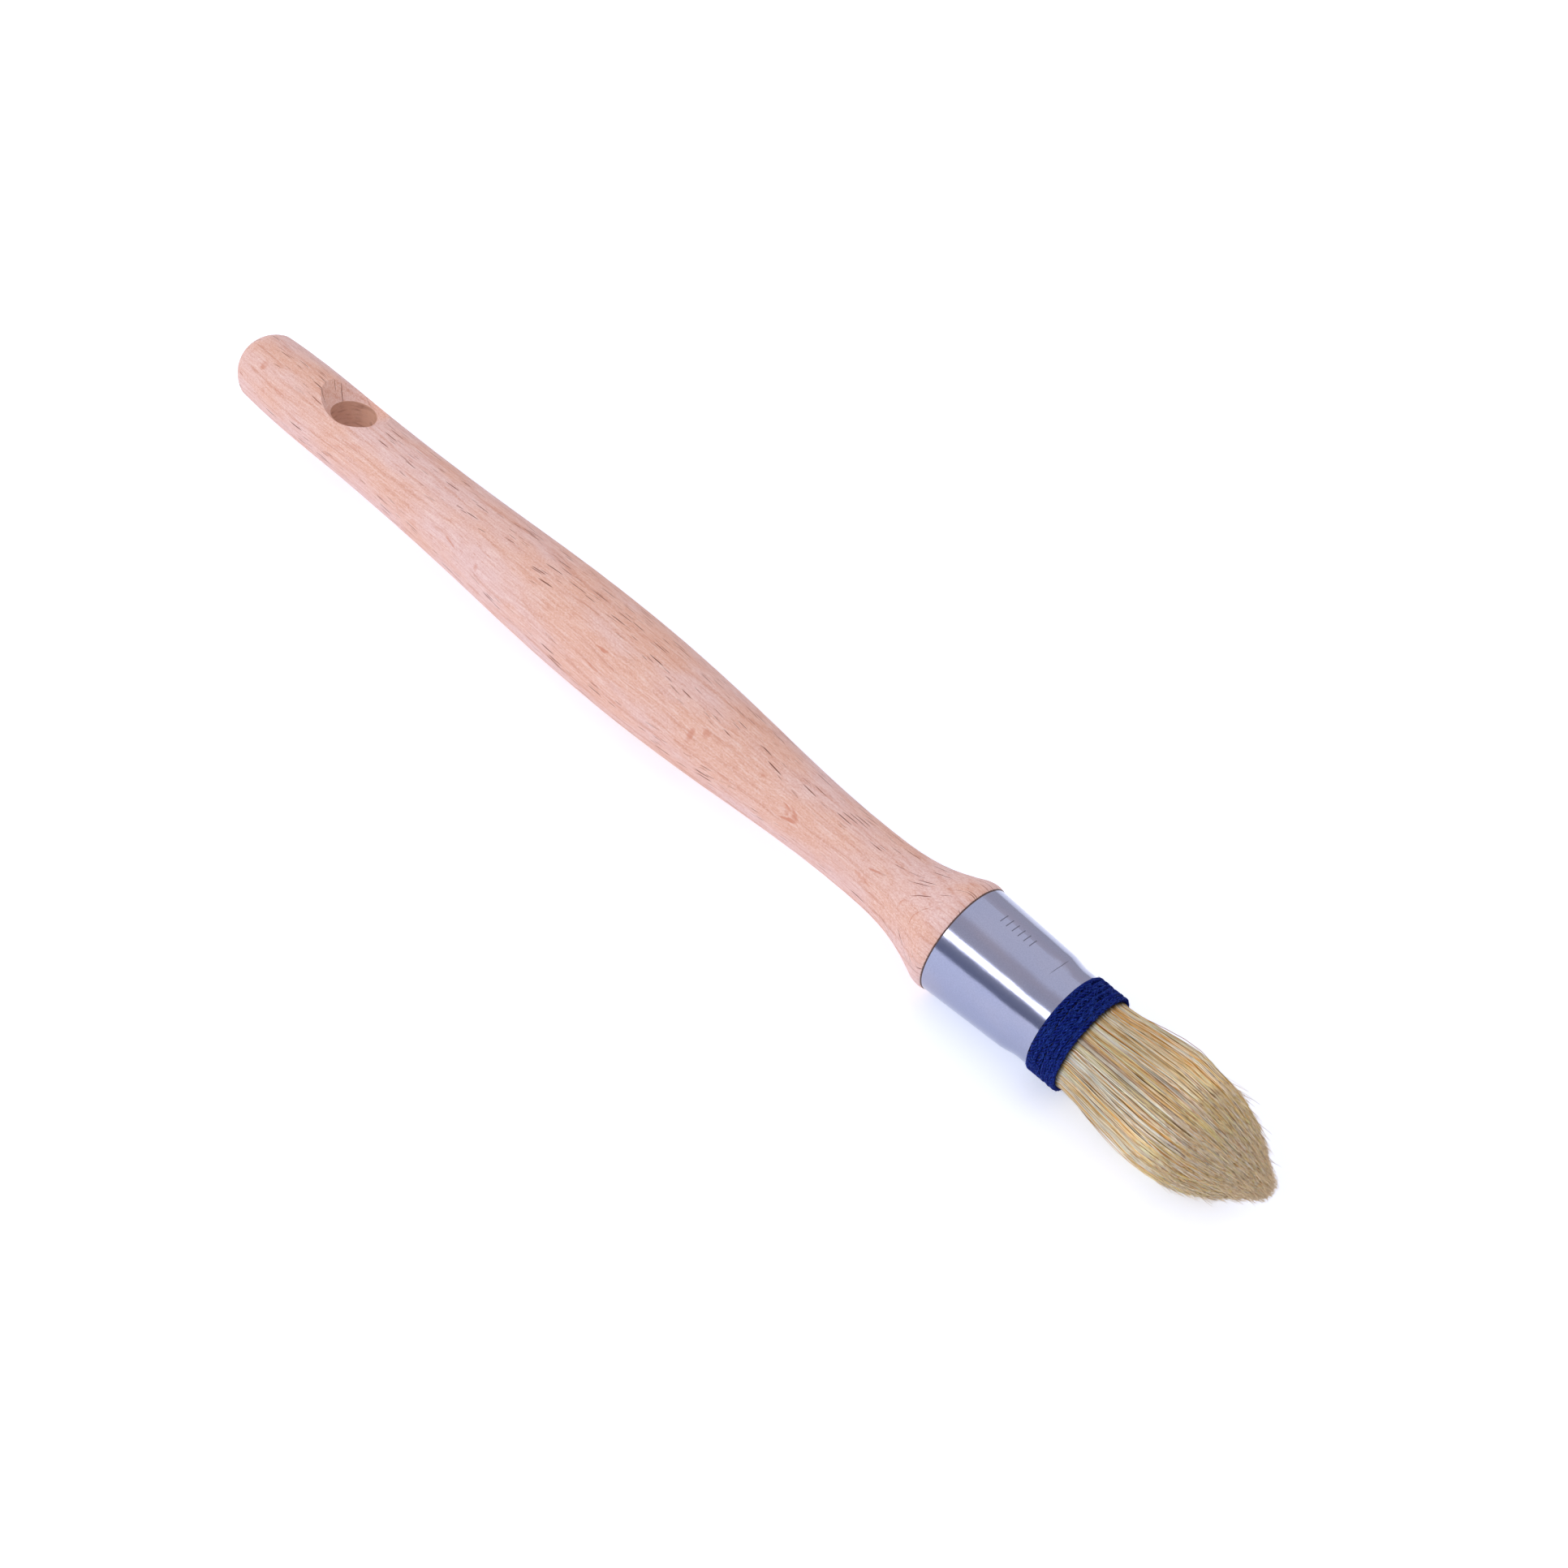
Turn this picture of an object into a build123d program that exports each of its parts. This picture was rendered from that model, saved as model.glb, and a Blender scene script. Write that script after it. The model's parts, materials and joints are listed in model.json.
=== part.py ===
"""A round stencil brush: turned handle, drawn ferrule, set bristles and a twine whipping.

Millimetres. The brush lies along X with its bristle tip at +X, and rests on Z = 0.
Stations along the brush are measured from the handle's free end, and radii from its axis.
"""

from build123d import *
from math import cos, radians, sin, tan
import os

# --- Handle -------------------------------------------------------------------------------
handle_length = 193.0  # free end to the shoulder's front face
tail_dome_length = 4.9  # rounded free end
tail_taper_length = 9.5  # dome's edge to the full grip
tail_taper = 0.46  # how much thinner the handle is at the dome's edge
grip_radius = 7.66  # the straight part that carries the hanging hole
grip_length = 32.0  # free end to where the handle starts to swell
belly_radius = 9.7  # thickest part of the grip
belly_to_neck = 61.5
neck_radius = 6.72  # thinnest part, in front of the belly
neck_to_face = 25.0  # neck to the shoulder's front face
swell_hollow = 0.18  # how far the curve from grip to belly dips below its mean radius, half way
fall_fullness = 0.24  # how far the curve from belly to neck rises above its mean radius, half way
flare_length = 16.8  # neck to the steep end of the flare
flare_drop = 2.38  # steep end of the flare to the shoulder, radially
shoulder_proud = 0.28  # how far the shoulder stands out beyond the ferrule
shoulder_round = 5.0  # radius of the turn from the flare to the shoulder
shoulder_slope = 23.0  # degrees, steepest slope of the flare
shoulder_edge = 1.2  # length of the softened edge in front of the shoulder

# --- Hanging hole -------------------------------------------------------------------------
hole_station = 30.5
hole_radius = 4.5
countersink_angle = 100.0  # degrees, between opposite sides
countersink_depth = 2.96  # from the grip's surface to the hole's straight wall

# --- Ferrule ------------------------------------------------------------------------------
mouth_bore_radius = 9.0  # an 18 mm bundle
ferrule_wall = 0.3
cone_length = 16.8  # rear edge to the neck-down
cone_taper = 0.75  # how much the cone narrows towards the front, radially
neck_down_length = 2.8
neck_down_depth = 0.55  # radial step from the cone to the mouth
mouth_length = 2.9  # straight part in front of the neck-down
neck_down_blend = 6.0  # outside radius of the two bends
lip_round = 0.12

# --- Spigot, glue and resin ---------------------------------------------------------------
spigot_chamfer = 0.6
glue_thickness = 0.12
resin_thickness = 3.0
butts_to_cone_end = 2.8  # how far the bristles' butts lie behind the neck-down

# --- Whipping -----------------------------------------------------------------------------
cord_diameter = 1.02
cord_turns = 6
bundle_squeeze = 0.25  # how far the whipping narrows the bundle

# --- Bristles -----------------------------------------------------------------------------
bristle_free_length = 38.3  # whipping to tip
bristle_spring_out = 1.6  # length over which the bundle widens again
bristle_splay = 1.85  # how far the bundle spreads beyond the ferrule's bore
bristle_max_to_tip = 19.5
bristle_cheek_drop = 2.35  # fall in radius half way from the widest place to the tip
bristle_nose_round = 3.0  # radius of the blunt nose
bristle_nose_slope = 38.0  # degrees, slope of the cheeks where the nose starts

# --- Stations that follow from the sizes above ----------------------------------------------
face_station = handle_length
cone_end = face_station + cone_length
neck_down_end = cone_end + neck_down_length
mouth_station = neck_down_end + mouth_length
whipping_end = mouth_station + cord_turns * cord_diameter
tip_station = whipping_end + bristle_free_length
resin_end = cone_end - butts_to_cone_end
spigot_end = resin_end - resin_thickness
neck_station = face_station - neck_to_face
belly_station = neck_station - belly_to_neck

# --- Radii that follow from the sizes above -------------------------------------------------
mouth_radius = mouth_bore_radius + ferrule_wall
ferrule_front_radius = mouth_radius + neck_down_depth
ferrule_rear_radius = ferrule_front_radius + cone_taper
shoulder_radius = ferrule_rear_radius + shoulder_proud
bundle_radius = mouth_bore_radius - bundle_squeeze
bristle_max_radius = mouth_bore_radius + bristle_splay

# The widest piece rests on the floor, and the brush is centred on the origin.
axis_height = max(shoulder_radius, belly_radius, bristle_max_radius)
tail_x = -tip_station / 2
half_section = Plane(origin=(tail_x, 0, axis_height), x_dir=(1, 0, 0), z_dir=(0, -1, 0))
brush_axis = Axis((tail_x, 0, axis_height), (1, 0, 0))


def bore_radius(station: float) -> float:
    """Inside radius of the ferrule's rear cone at a station."""
    share = (station - face_station) / cone_length
    return ferrule_rear_radius - share * cone_taper - ferrule_wall


# --- Handle: turned beech with a spigot that enters the ferrule -----------------------------
slope = radians(shoulder_slope)
flare_direction = (cos(slope), sin(slope))
shoulder_crest = (face_station - shoulder_edge, shoulder_radius)
flare_end = (
    shoulder_crest[0] - shoulder_round * sin(slope),
    shoulder_crest[1] - shoulder_round * (1 - cos(slope)),
)
root_radius = bore_radius(face_station) - glue_thickness
chamfer_station = spigot_end - spigot_chamfer
tail_radius = grip_radius - tail_taper
bore_half_length = grip_radius - countersink_depth
sink_top = 2 * grip_radius
sink_radius = hole_radius + (sink_top - bore_half_length) * tan(radians(countersink_angle / 2))

with BuildPart() as handle:
    with BuildSketch(half_section):
        with BuildLine():
            TangentArc((0, 0), (tail_dome_length, tail_radius), tangent=(0, 1))
            Spline(
                (tail_dome_length, tail_radius),
                (tail_dome_length + tail_taper_length, grip_radius),
                (grip_length, grip_radius),
                ((grip_length + belly_station) / 2, (grip_radius + belly_radius) / 2 - swell_hollow),
                (belly_station, belly_radius),
                tangents=((1, 0.07), (1, 0)),
            )
            Spline(
                (belly_station, belly_radius),
                ((belly_station + neck_station) / 2, (belly_radius + neck_radius) / 2 + fall_fullness),
                (neck_station, neck_radius),
                tangents=((1, 0), (1, 0)),
            )
            Spline(
                (neck_station, neck_radius),
                (neck_station + flare_length, shoulder_radius - flare_drop),
                flare_end,
                tangents=((1, 0), flare_direction),
            )
            TangentArc(flare_end, shoulder_crest, tangent=flare_direction)
            TangentArc(shoulder_crest, (face_station, ferrule_rear_radius), tangent=(1, 0))
            Polyline(
                (face_station, ferrule_rear_radius),
                (face_station, root_radius),
                (chamfer_station, bore_radius(chamfer_station) - glue_thickness),
                (spigot_end, bore_radius(spigot_end) - glue_thickness - spigot_chamfer),
                (spigot_end, 0),
                (0, 0),
            )
        make_face()
    revolve(axis=brush_axis)
    # Hanging hole, countersunk from both sides.
    with BuildSketch(half_section):
        with BuildLine():
            Polyline(
                (hole_station, -sink_top),
                (hole_station + sink_radius, -sink_top),
                (hole_station + hole_radius, -bore_half_length),
                (hole_station + hole_radius, bore_half_length),
                (hole_station + sink_radius, sink_top),
                (hole_station, sink_top),
                close=True,
            )
        make_face()
    revolve(axis=Axis((tail_x + hole_station, 0, 0), (0, 0, 1)), mode=Mode.SUBTRACT)
handle.part.label = "handle"

# --- Ferrule: a seamless drawn tube, coned, with a narrower mouth ----------------------------
with BuildPart() as ferrule:
    with BuildSketch(half_section):
        with BuildLine():
            Polyline(
                (face_station, bore_radius(face_station)),
                (face_station, ferrule_rear_radius),
                (cone_end, ferrule_front_radius),
                (neck_down_end, mouth_radius),
                (mouth_station, mouth_radius),
                (mouth_station, mouth_bore_radius),
                (neck_down_end, mouth_bore_radius),
                (cone_end, bore_radius(cone_end)),
                close=True,
            )
        make_face()
    revolve(axis=brush_axis)
    rings = ferrule.edges().filter_by(GeomType.CIRCLE).group_by(Axis.X)
    bends = [ring.sort_by(SortBy.RADIUS)[-1] for ring in rings[1:3]]
    fillet(bends, neck_down_blend)
    rings = ferrule.edges().filter_by(GeomType.CIRCLE).group_by(Axis.X)
    fillet(rings[-1].sort_by(SortBy.RADIUS)[-1], lip_round)
ferrule.part.label = "ferrule"

# --- Glue film: fills the gap between the spigot and the ferrule -----------------------------
with BuildPart() as spigot_glue:
    with BuildSketch(half_section):
        with BuildLine():
            Polyline(
                (face_station, root_radius),
                (face_station, bore_radius(face_station)),
                (chamfer_station, bore_radius(chamfer_station)),
                (chamfer_station, bore_radius(chamfer_station) - glue_thickness),
                close=True,
            )
        make_face()
    revolve(axis=brush_axis)
spigot_glue.part.label = "spigot_glue"

# --- Setting resin: a plug between the spigot and the bristles' butts, round the chamfer -------
with BuildPart() as setting_resin:
    with BuildSketch(half_section):
        with BuildLine():
            Polyline(
                (chamfer_station, bore_radius(chamfer_station) - glue_thickness),
                (chamfer_station, bore_radius(chamfer_station)),
                (resin_end, bore_radius(resin_end)),
                (resin_end, 0),
                (spigot_end, 0),
                (spigot_end, bore_radius(spigot_end) - glue_thickness - spigot_chamfer),
                close=True,
            )
        make_face()
    revolve(axis=brush_axis)
setting_resin.part.label = "setting_resin"

# --- Bristles: one closed solid from the butts to the blunt tip ------------------------------
tuft_belly_station = tip_station - bristle_max_to_tip
nose_slope = radians(bristle_nose_slope)
nose_start = (
    tip_station - bristle_nose_round * (1 - sin(nose_slope)),
    bristle_nose_round * cos(nose_slope),
)
with BuildPart() as bristle_tuft:
    with BuildSketch(half_section):
        with BuildLine():
            Polyline(
                (tip_station, 0),
                (resin_end, 0),
                (resin_end, bore_radius(resin_end)),
                (cone_end, bore_radius(cone_end)),
                (neck_down_end, mouth_bore_radius),
                (mouth_station, mouth_bore_radius),
                (mouth_station, bundle_radius),
                (whipping_end, bundle_radius),
            )
            Spline(
                (whipping_end, bundle_radius),
                (whipping_end + bristle_spring_out, mouth_bore_radius + bundle_squeeze),
                (tuft_belly_station, bristle_max_radius),
                tangents=((1, 0.6), (1, 0)),
            )
            Spline(
                (tuft_belly_station, bristle_max_radius),
                ((tuft_belly_station + tip_station) / 2, bristle_max_radius - bristle_cheek_drop),
                nose_start,
                tangents=((1, 0), (cos(nose_slope), -sin(nose_slope))),
            )
            TangentArc((tip_station, 0), nose_start, tangent=(0, 1))
        make_face()
    revolve(axis=brush_axis)
bristle_tuft.part.label = "bristle_tuft"

# --- Whipping: close turns of cord that bind the bundle in front of the ferrule ----------------
cord_radius = cord_diameter / 2
cord_centre_radius = bundle_radius + cord_radius
with BuildPart() as twine_whipping:
    with BuildSketch(half_section):
        with BuildLine():
            Polyline(
                (mouth_station, cord_centre_radius),
                (mouth_station, bundle_radius),
                (whipping_end, bundle_radius),
                (whipping_end, cord_centre_radius),
            )
            for turn in range(cord_turns):
                middle = mouth_station + (turn + 0.5) * cord_diameter
                CenterArc((middle, cord_centre_radius), cord_radius, 0, 180)
        make_face()
    revolve(axis=brush_axis)
twine_whipping.part.label = "twine_whipping"

os.makedirs("parts", exist_ok=True)
for piece in (handle, spigot_glue, ferrule, setting_resin, bristle_tuft, twine_whipping):
    export_step(piece.part, f"parts/{piece.part.label}.step")
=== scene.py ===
"""Looks of a round stencil brush: beech handle, steel ferrule, whipping twine and hog bristle.

Everything is in metres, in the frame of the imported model, and the places come from the boxes of
its nodes. The handle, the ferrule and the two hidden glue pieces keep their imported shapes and
get finishes here. The whipping and the bristle are built strand by strand.
"""

from __future__ import annotations

import json
import logging
import math
from collections.abc import Callable
from dataclasses import dataclass
from enum import Enum
from typing import Any

import bpy  # noqa: E402
import numpy as np  # noqa: E402
from mathutils import Matrix, Vector  # noqa: E402

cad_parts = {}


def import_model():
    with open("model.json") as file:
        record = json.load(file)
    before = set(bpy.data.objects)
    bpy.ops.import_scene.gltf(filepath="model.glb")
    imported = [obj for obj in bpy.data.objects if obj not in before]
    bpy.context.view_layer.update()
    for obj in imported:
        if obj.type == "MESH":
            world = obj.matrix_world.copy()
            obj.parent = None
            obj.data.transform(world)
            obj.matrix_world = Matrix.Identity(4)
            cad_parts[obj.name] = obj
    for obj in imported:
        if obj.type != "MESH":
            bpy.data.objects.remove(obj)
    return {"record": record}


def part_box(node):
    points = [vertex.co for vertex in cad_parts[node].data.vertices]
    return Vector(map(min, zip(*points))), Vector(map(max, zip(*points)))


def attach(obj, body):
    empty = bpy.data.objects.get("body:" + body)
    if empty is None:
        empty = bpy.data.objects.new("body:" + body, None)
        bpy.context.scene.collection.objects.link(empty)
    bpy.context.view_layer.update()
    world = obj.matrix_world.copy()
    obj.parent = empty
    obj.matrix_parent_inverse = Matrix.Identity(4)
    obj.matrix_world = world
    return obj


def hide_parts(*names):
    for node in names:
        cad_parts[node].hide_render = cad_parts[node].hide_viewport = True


log = logging.getLogger("stencil_brush")

MM = 0.001
FULL_TURN = 2.0 * math.pi
BODY = "root"
ATTRIBUTE_KINDS = {
    1: ("FLOAT", "value"),
    3: ("FLOAT_VECTOR", "vector"),
    4: ("FLOAT_COLOR", "color"),
}

Colour = tuple[float, float, float]


def tint(red: int, green: int, blue: int) -> Colour:
    """Turns an everyday 0 to 255 colour into the linear one that a shader takes.

    Args:
        red: How much red.
        green: How much green.
        blue: How much blue.

    Returns:
        The three linear channels.
    """
    shares = (red / 255.0, green / 255.0, blue / 255.0)
    linear = [s / 12.92 if s <= 0.04045 else ((s + 0.055) / 1.055) ** 2.4 for s in shares]
    return linear[0], linear[1], linear[2]


# Shader maths


def operator(operation: str, swapped: bool = False) -> Callable[[Reading, Any], Reading]:
    """Makes a two-sided operator of Reading out of one Math node.

    Args:
        operation: The Math node's operation.
        swapped: Whether the reading stands on the right.

    Returns:
        The method.
    """

    def method(self: Reading, other: Any) -> Reading:
        """Adds the node."""
        return self.maths(operation, *((other, self) if swapped else (self, other)))

    return method


class Reading:
    """A number that varies over a surface, with the arithmetic of plain Python."""

    def __init__(self, sheet: Sheet, socket: bpy.types.NodeSocket) -> None:
        """Wraps one output socket of a sheet."""
        self.sheet = sheet
        self.socket = socket

    def maths(self, operation: str, *values: Any) -> Reading:
        """Adds one Math node and reads its result."""
        node = self.sheet.add("ShaderNodeMath", {"operation": operation}, dict(enumerate(values)))
        return Reading(self.sheet, node.outputs[0])

    __add__ = operator("ADD")
    __radd__ = operator("ADD", swapped=True)
    __sub__ = operator("SUBTRACT")
    __rsub__ = operator("SUBTRACT", swapped=True)
    __mul__ = operator("MULTIPLY")
    __truediv__ = operator("DIVIDE")
    __pow__ = operator("POWER")
    angle_to = operator("ARCTAN2")

    def __abs__(self) -> Reading:
        """Size without sign."""
        return self.maths("ABSOLUTE", self)

    def sine(self) -> Reading:
        """Sine, of radians."""
        return self.maths("SINE", self)

    def root(self) -> Reading:
        """Square root."""
        return self.maths("SQRT", self)

    def wrapped(self) -> Reading:
        """The part after the decimal point."""
        return self.maths("FRACT", self)

    def smooth(self, low: float, high: float) -> Reading:
        """Eases from 0 at low to 1 at high, or the other way round where low is the larger.

        Args:
            low: The value that gives 0.
            high: The value that gives 1.

        Returns:
            A share from 0 to 1.
        """
        ends = {"From Min": min(low, high), "From Max": max(low, high)}
        turned = {"To Min": 0.0 if low < high else 1.0, "To Max": 1.0 if low < high else 0.0}
        style = {"interpolation_type": "SMOOTHSTEP"}
        node = self.sheet.add("ShaderNodeMapRange", style, {"Value": self, **ends, **turned})
        return Reading(self.sheet, node.outputs["Result"])


class Sheet:
    """The nodes of a material or a world under construction."""

    def __init__(self, owner: bpy.types.ID) -> None:
        """Clears the owner's nodes.

        Args:
            owner: The material or the world.
        """
        owner.use_nodes = True
        self.tree = owner.node_tree
        self.tree.nodes.clear()

    def add(
        self,
        kind: str,
        settings: dict[str, Any] | None = None,
        sockets: dict[Any, Any] | None = None,
    ) -> bpy.types.Node:
        """Adds a node, gives it its settings, and then fills or links its sockets.

        Args:
            kind: The node's type.
            settings: The node's own properties, set first.
            sockets: A reading, an output socket or a plain value for each named input.

        Returns:
            The node.
        """
        node = self.tree.nodes.new(kind)
        for key, value in (settings or {}).items():
            setattr(node, key, value)
        for key, value in (sockets or {}).items():
            target = node.inputs[key]
            if isinstance(value, Reading):
                self.tree.links.new(value.socket, target)
            elif isinstance(value, bpy.types.NodeSocket):
                self.tree.links.new(value, target)
            elif target.type == "RGBA":
                target.default_value = (*value[:3], 1.0)
            else:
                target.default_value = value
        return node

    def mixed(self, share: Any, under: Any, over: Any) -> bpy.types.NodeSocket:
        """Lays the colour over on the colour under, as far as the share says."""
        node = self.add("ShaderNodeMix", {"data_type": "RGBA"}, {0: share, 6: under, 7: over})
        return node.outputs[2]

    def coated(self, colour: Any, *coats: tuple[Any, Any]) -> Any:
        """Lays coats over a colour, each a share and its colour, the lowest first."""
        for share, over in coats:
            colour = self.mixed(share, colour, over)
        return colour


class Recipe(Sheet):
    """A material under construction."""

    def __init__(self, name: str) -> None:
        """Starts an empty material."""
        self.material = bpy.data.materials.new(name)
        super().__init__(self.material)

    def place(self, origin: Vector) -> tuple[Reading, Reading, Reading]:
        """Where a surface point is, in millimetres from a point of the object.

        Args:
            origin: The point measured from, in metres.

        Returns:
            How far it is along the brush, to its side and up.
        """
        seat = self.add("ShaderNodeTexCoord").outputs["Object"]
        ends = {0: seat, 1: tuple(origin)}
        moved = self.add("ShaderNodeVectorMath", {"operation": "SUBTRACT"}, ends).outputs[0]
        size = {0: moved, "Scale": 1.0 / MM}
        return self.parts(self.add("ShaderNodeVectorMath", {"operation": "SCALE"}, size).outputs[0])

    def parts(self, vector: Any) -> tuple[Reading, Reading, Reading]:
        """Splits a vector into its three numbers."""
        node = self.add("ShaderNodeSeparateXYZ", None, {0: vector})
        return tuple(Reading(self, out) for out in node.outputs)

    def joined(self, x: Any, y: Any, z: Any) -> bpy.types.NodeSocket:
        """Makes a vector of three numbers."""
        return self.add("ShaderNodeCombineXYZ", None, {0: x, 1: y, 2: z}).outputs[0]

    def clouds(
        self, x: Any, y: Any, z: Any, detail: float = 2.0, scale: float = 1.0
    ) -> Reading:
        """Soft noise from 0 to 1.

        Args:
            x: The first of the three numbers that say where it is read.
            y: The second.
            z: The third.
            detail: How much finer noise is laid over it.
            scale: How many clouds there are to the unit.

        Returns:
            The noise.
        """
        inputs = {"Vector": self.joined(x, y, z), "Scale": scale, "Detail": detail}
        return Reading(self, self.add("ShaderNodeTexNoise", None, inputs).outputs["Fac"])

    def cells(self, x: Any, y: Any, z: Any) -> tuple[Reading, bpy.types.NodeSocket]:
        """Scatters points, one to the unit.

        Args:
            x: The first of the three numbers that say where they are read.
            y: The second.
            z: The third.

        Returns:
            The distance to the nearest point, and that point's own colour.
        """
        inputs = {"Vector": self.joined(x, y, z), "Scale": 1.0}
        node = self.add("ShaderNodeTexVoronoi", None, inputs)
        return Reading(self, node.outputs["Distance"]), node.outputs["Color"]

    def attribute(self, name: str) -> bpy.types.Node:
        """Reads one of the mesh's own attributes."""
        return self.add("ShaderNodeAttribute", {"attribute_name": name})

    def surfaced(
        self,
        colour: Any,
        roughness: Any,
        metallic: float = 0.0,
        specular: float = 0.5,
        relief: Reading | None = None,
        relief_depth: float = 0.0,
    ) -> bpy.types.Material:
        """Closes the material with its surface shader.

        Args:
            colour: Its colour.
            roughness: How much it scatters what it reflects.
            metallic: 1 for metal.
            specular: How strongly anything else reflects.
            relief: The height of its fine relief.
            relief_depth: How many metres a height of 1 stands for.

        Returns:
            The finished material.
        """
        inputs: dict[str, Any] = {
            "Base Color": colour,
            "Roughness": roughness,
            "Metallic": metallic,
            "Specular IOR Level": specular,
        }
        if relief is not None:
            heights = {"Height": relief, "Distance": relief_depth, "Strength": 1.0}
            inputs["Normal"] = self.add("ShaderNodeBump", None, heights).outputs[0]
        shader = self.add("ShaderNodeBsdfPrincipled", None, inputs)
        self.add("ShaderNodeOutputMaterial", None, {"Surface": shader.outputs[0]})
        return self.material


# Finishes


@dataclass(frozen=True)
class Beech:
    """Bare turned beech, with its grain along the handle and its rays in radial sheets."""

    centre: Vector
    tail_spot: Vector
    hole: Vector
    hole_radius: float
    joint_x: float
    pale: Colour = tint(223, 189, 182)
    warm: Colour = tint(222, 176, 156)
    light: Colour = tint(236, 210, 200)
    ring: Colour = tint(196, 136, 112)
    ray_face: Colour = tint(198, 128, 102)
    ray_edge: Colour = tint(106, 52, 38)
    # Darker and browner inside the bore: partly end grain, partly painted shade in the hole.
    bore_grain_and_shade: Colour = tint(206, 164, 140)
    burnt: Colour = tint(52, 30, 26)
    radial_turn: float = math.radians(63.0)
    ray_size: float = 0.235
    ray_spacing: tuple[float, float, float] = (9.5, 0.30, 15.0)
    ring_spacing: float = 2.3

    def material(self) -> bpy.types.Material:
        """Builds the beech.

        Returns:
            The material.
        """
        recipe = Recipe("turned_beech")
        along, side, height = recipe.place(self.centre)
        drift = recipe.clouds(along * 0.022, side * 0.05, height * 0.05)
        sway = (drift - 0.5) * 3.2
        cos, sin = math.cos(self.radial_turn), math.sin(self.radial_turn)
        radial = side * cos + height * sin + sway
        tangent = height * cos - side * sin + sway * 0.5
        reach = (side * side + height * height).root() + 0.01
        edge_on = (abs(side * cos + height * sin) / reach).smooth(0.12, 0.62)

        blotch = recipe.clouds(along * 0.05, side * 0.16, height * 0.16, 3.0)
        belly = abs(along + 8.0).smooth(48.0, 12.0)
        warmth = (blotch + belly * 0.14).smooth(0.36, 0.68)

        lap = (radial / self.ring_spacing + (drift - 0.5) * 1.3) * FULL_TURN
        rings = (lap.sine() * 0.5 + 0.5) ** 6.0
        broken = recipe.clouds(along * 0.09, side * 0.7, height * 0.7)
        fine_lap = ((radial * 3.1 + sway * 2.0) / self.ring_spacing * FULL_TURN).sine()
        fine_rings = (fine_lap * 0.5 + 0.5) ** 4.0 * broken.smooth(0.62, 0.44)
        fibre = recipe.clouds(along * 0.24, tangent * 4.2, radial * 4.2, 4.0)
        speck = recipe.clouds(along * 0.6, side, height, 3.0, 4.6)
        colour = recipe.coated(
            recipe.mixed(warmth, self.pale, self.warm),
            (rings * broken.smooth(0.36, 0.66) * 0.62, self.ring),
            (fine_rings * 0.22, self.ring),
            (fibre.smooth(0.50, 0.72) * 0.42, self.ring),
            (fibre.smooth(0.50, 0.28) * 0.50, self.light),
            (speck.smooth(0.50, 0.68) * 0.34, self.ring),
            (speck.smooth(0.48, 0.30) * 0.40, self.light),
        )

        rays = self._rays(recipe, along, tangent, radial, 1.0)
        short_rays = self._rays(recipe, along * 1.7 + 40.0, tangent * 1.2, radial * 1.6, 0.55)
        patch = recipe.clouds(along * 0.07, side * 0.2, height * 0.2)
        faces_on = (1.0 - edge_on) * patch.smooth(0.44, 0.58)
        dabs, own_dab = recipe.cells(along / 3.4, tangent / 1.5, radial / 6.0)
        dab = dabs.smooth(0.30, 0.16) * recipe.parts(own_dab)[1].smooth(0.45, 0.95)
        colour = recipe.coated(
            colour,
            (((rays + short_rays) * edge_on).smooth(0.0, 0.9) * 0.92, self.ray_edge),
            ((rays + short_rays * 0.6) * faces_on * 0.8, self.ray_face),
            (dab * faces_on * 0.75, self.ray_face),
        )

        # The inside of the bore is darker and browner: partly its end grain, partly painted shade
        # in the hole.
        from_hole = recipe.place(self.hole)
        bore = (from_hole[0] * from_hole[0] + from_hole[1] * from_hole[1]).root()
        bore_edge = self.hole_radius / MM
        inside = bore.smooth(bore_edge + 0.07, bore_edge + 0.03)
        turned = from_hole[1].angle_to(from_hole[0])
        arcs = recipe.clouds(turned * 1.6, height * 1.1, 0.0, 3.0)
        bore_wall_and_shade = recipe.mixed(arcs.smooth(0.45, 0.80) * 0.6, self.bore_grain_and_shade, self.ray_edge)

        spot = recipe.place(self.tail_spot)
        ragged = (spot[0] * spot[0] + spot[1] * spot[1] * 0.5 + spot[2] * spot[2] * 0.5).root()
        ragged = ragged + (speck - 0.5) * 1.6
        joint = (self.joint_x - self.centre.x) / MM
        seam = (along + (speck - 0.5) * 0.2).smooth(joint - 0.34, joint - 0.20)
        colour = recipe.coated(
            colour,
            (inside * 0.85, bore_wall_and_shade),
            (ragged.smooth(1.5, 0.5) * 0.85, self.burnt),
            (seam * 0.92, self.burnt),
        )

        roughness = 0.50 + fibre * 0.16 + rays * 0.1
        relief = fibre * 0.25 - rays * 0.6 + speck * 0.15
        return recipe.surfaced(
            colour, roughness, specular=0.35, relief=relief, relief_depth=0.05 * MM
        )

    def _rays(
        self, recipe: Recipe, along: Reading, tangent: Reading, radial: Reading, depth: float
    ) -> Reading:
        """Scatters the wood's rays: thin plates that lie along the grain and across the rings.

        Args:
            recipe: The material under construction.
            along: Millimetres along the grain.
            tangent: Millimetres along the rings.
            radial: Millimetres across the rings.
            depth: How strong the rays are.

        Returns:
            How much of a ray shows.
        """
        wobble = (recipe.clouds(along * 0.3, tangent, radial, scale=0.8) - 0.5) * 0.2
        x_gap, t_gap, r_gap = self.ray_spacing
        far, own = recipe.cells(along / x_gap, (tangent + wobble) / t_gap, radial / r_gap)
        shown = recipe.parts(own)[0].smooth(0.12, 0.75) * depth
        return far.smooth(self.ray_size, self.ray_size * 0.62) * shown


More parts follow.
